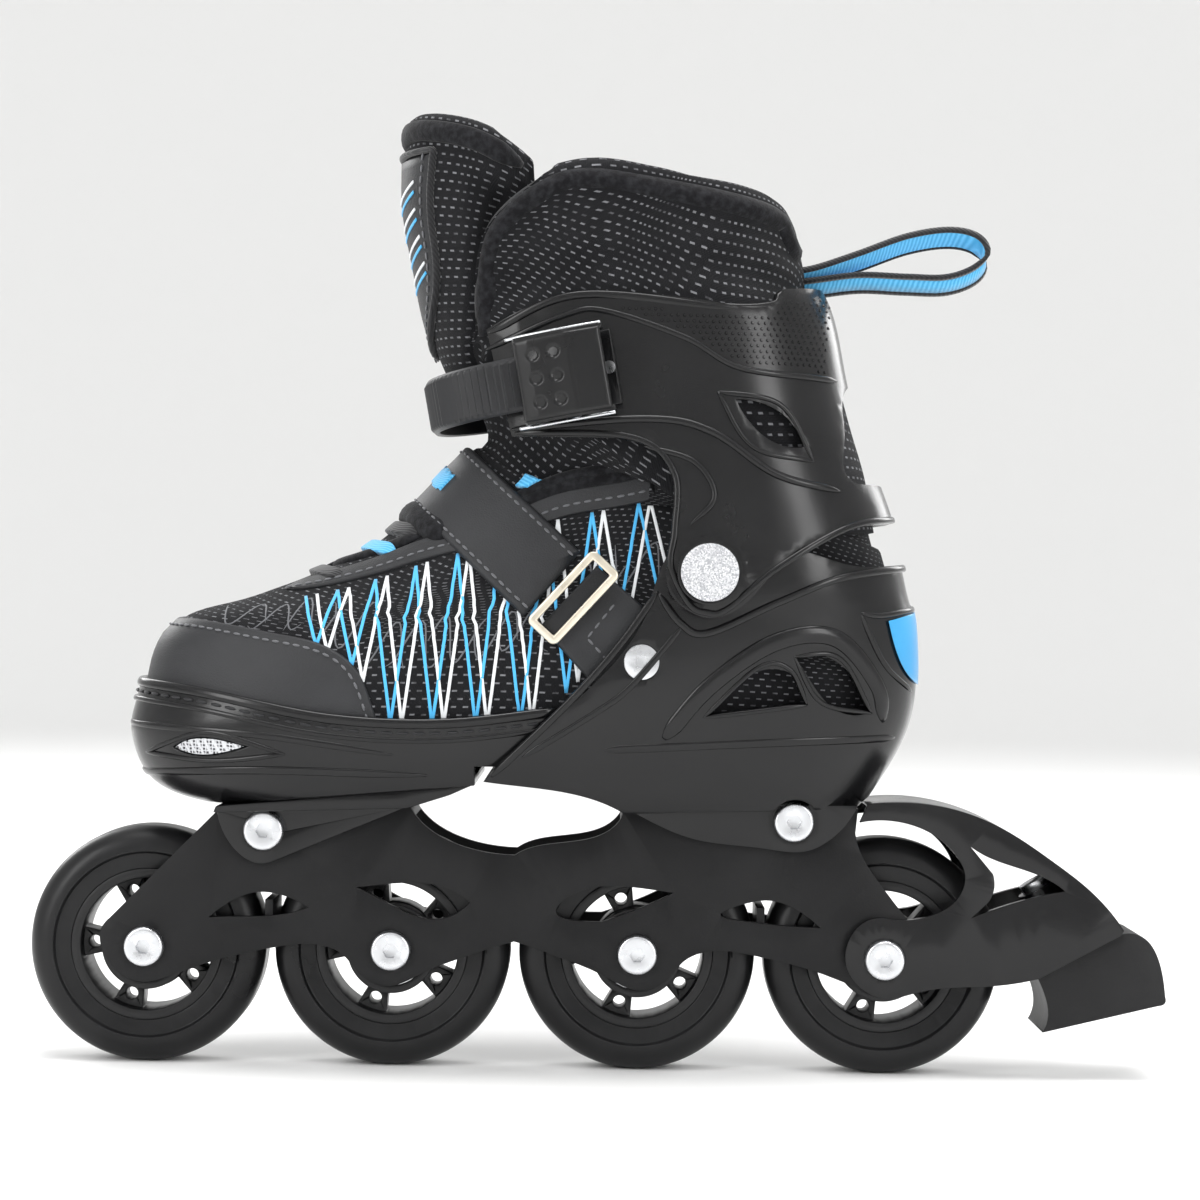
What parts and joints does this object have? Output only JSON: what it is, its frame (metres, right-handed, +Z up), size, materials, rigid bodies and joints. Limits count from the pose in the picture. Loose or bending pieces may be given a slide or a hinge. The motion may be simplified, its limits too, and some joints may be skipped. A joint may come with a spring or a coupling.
{
  "type": "inline skate",
  "caption": "Recreational inline skate with a soft boot, hinged cuff, sliding toe shell, buckle, instep strap, wheel frame and heel brake.",
  "frame": {"origin": "on the ground under the middle of the skate, in the plane of the wheels", "axes": "+X towards the heel, +Y towards the medial side (the buckle is on the -Y side), +Z up"},
  "size_m": [0.3453, 0.1086, 0.2871],
  "materials": {
    "tyre": "satin polyurethane",
    "hub": "satin moulded nylon",
    "steel": "zinc plated",
    "frame": "matt black powder coat",
    "shell": "satin moulded shell",
    "rubber": "matt brake rubber",
    "silver_mesh": "silver grille",
    "blue": "blue inlay",
    "fabric": "black sports mesh with pale dashes",
    "lining": "black padded lining",
    "leather": "dark synthetic leather",
    "webbing": "blue webbing with black edges",
    "strap": "toothed moulded strap"
  },
  "bodies": {
    "chassis": {"frame": "frame", "sole_plate": "shell", "mount_barrels": "steel", "mount_screws": "steel", "axle_barrels": "steel", "axle_screws": "steel", "bearing_inners": "steel", "bearing_spacers": "steel", "brake_arm": "shell", "brake_pad": "rubber", "brake_screw": "steel", "rear_shell": "shell", "heel_badge": "blue", "ankle_rivets": "shell", "ankle_caps": "steel", "strap_screws": "steel", "upper_body": "fabric", "insole": "lining", "instep_strap": "leather", "strap_ring": "steel", "ring_tabs": "leather", "laces": "webbing"},
    "toe": {"toe_shell": "shell", "toe_vent_mesh": "silver_mesh", "upper_toe": "fabric"},
    "size_button": {"size_button": "shell"},
    "cuff": {"cuff": "shell", "liner_collar": "lining", "tongue": "leather", "ladder_strap": "strap", "anchor_screw": "steel", "buckle_base": "shell", "buckle_rivets": "steel", "buckle_pins": "steel", "pull_loop": "webbing"},
    "lever": {"buckle_lever": "shell"},
    "pawl": {"buckle_pawl": "shell"},
    "wheel_1": {"tyre_1": "tyre", "hub_1": "hub", "bearing_outers_1": "steel"},
    "balls_1": {"ball_sets_1": "steel"},
    "wheel_2": {"tyre_2": "tyre", "hub_2": "hub", "bearing_outers_2": "steel"},
    "balls_2": {"ball_sets_2": "steel"},
    "wheel_3": {"tyre_3": "tyre", "hub_3": "hub", "bearing_outers_3": "steel"},
    "balls_3": {"ball_sets_3": "steel"},
    "wheel_4": {"tyre_4": "tyre", "hub_4": "hub", "bearing_outers_4": "steel"},
    "balls_4": {"ball_sets_4": "steel"}
  },
  "joints": [
    {"name": "toe_slide", "type": "slide", "parent": "chassis", "child": "toe", "axis": [-1, 0, 0], "range_m": [0, 0.02]},
    {"name": "size_button_press", "type": "slide", "parent": "chassis", "child": "size_button", "axis": [0, -1, 0], "range_m": [0, 0.0025], "stiffness_N_per_m": 800, "springref_m": -0.001},
    {"name": "cuff_flex", "type": "hinge", "parent": "chassis", "child": "cuff", "pos_m": [0.0319, 0, 0.1517], "axis": [0, -1, 0], "range_deg": [-4, 12]},
    {"name": "lever_open", "type": "hinge", "parent": "cuff", "child": "lever", "pos_m": [-0.02148, -0.04912, 0.20667], "axis": [0.1874, 0, -0.9823], "range_deg": [0, 75]},
    {"name": "pawl_lift", "type": "hinge", "parent": "cuff", "child": "pawl", "pos_m": [-0.01052, -0.0519, 0.20876], "axis": [0.1874, 0, -0.9823], "range_deg": [0, 14], "stiffness_Nm_per_rad": 0.02, "springref_deg": -5.73},
    {"name": "wheel_1_spin", "type": "hinge", "parent": "chassis", "child": "wheel_1", "pos_m": [-0.1361, 0, 0.036], "axis": [0, 1, 0], "continuous": true},
    {"name": "balls_1_roll", "type": "hinge", "parent": "chassis", "child": "balls_1", "pos_m": [-0.1361, 0, 0.036], "axis": [0, 1, 0], "continuous": true},
    {"name": "wheel_2_spin", "type": "hinge", "parent": "chassis", "child": "wheel_2", "pos_m": [-0.0615, 0, 0.036], "axis": [0, 1, 0], "continuous": true},
    {"name": "balls_2_roll", "type": "hinge", "parent": "chassis", "child": "balls_2", "pos_m": [-0.0615, 0, 0.036], "axis": [0, 1, 0], "continuous": true},
    {"name": "wheel_3_spin", "type": "hinge", "parent": "chassis", "child": "wheel_3", "pos_m": [0.0131, 0, 0.036], "axis": [0, 1, 0], "continuous": true},
    {"name": "balls_3_roll", "type": "hinge", "parent": "chassis", "child": "balls_3", "pos_m": [0.0131, 0, 0.036], "axis": [0, 1, 0], "continuous": true},
    {"name": "wheel_4_spin", "type": "hinge", "parent": "chassis", "child": "wheel_4", "pos_m": [0.0877, 0, 0.036], "axis": [0, 1, 0], "continuous": true},
    {"name": "balls_4_roll", "type": "hinge", "parent": "chassis", "child": "balls_4", "pos_m": [0.0877, 0, 0.036], "axis": [0, 1, 0], "continuous": true}
  ],
  "couplings": [
    {"joint": "balls_1_roll", "follows": "wheel_1_spin", "ratio": 0.6367},
    {"joint": "balls_2_roll", "follows": "wheel_2_spin", "ratio": 0.6367},
    {"joint": "balls_3_roll", "follows": "wheel_3_spin", "ratio": 0.6367},
    {"joint": "balls_4_roll", "follows": "wheel_4_spin", "ratio": 0.6367}
  ]
}
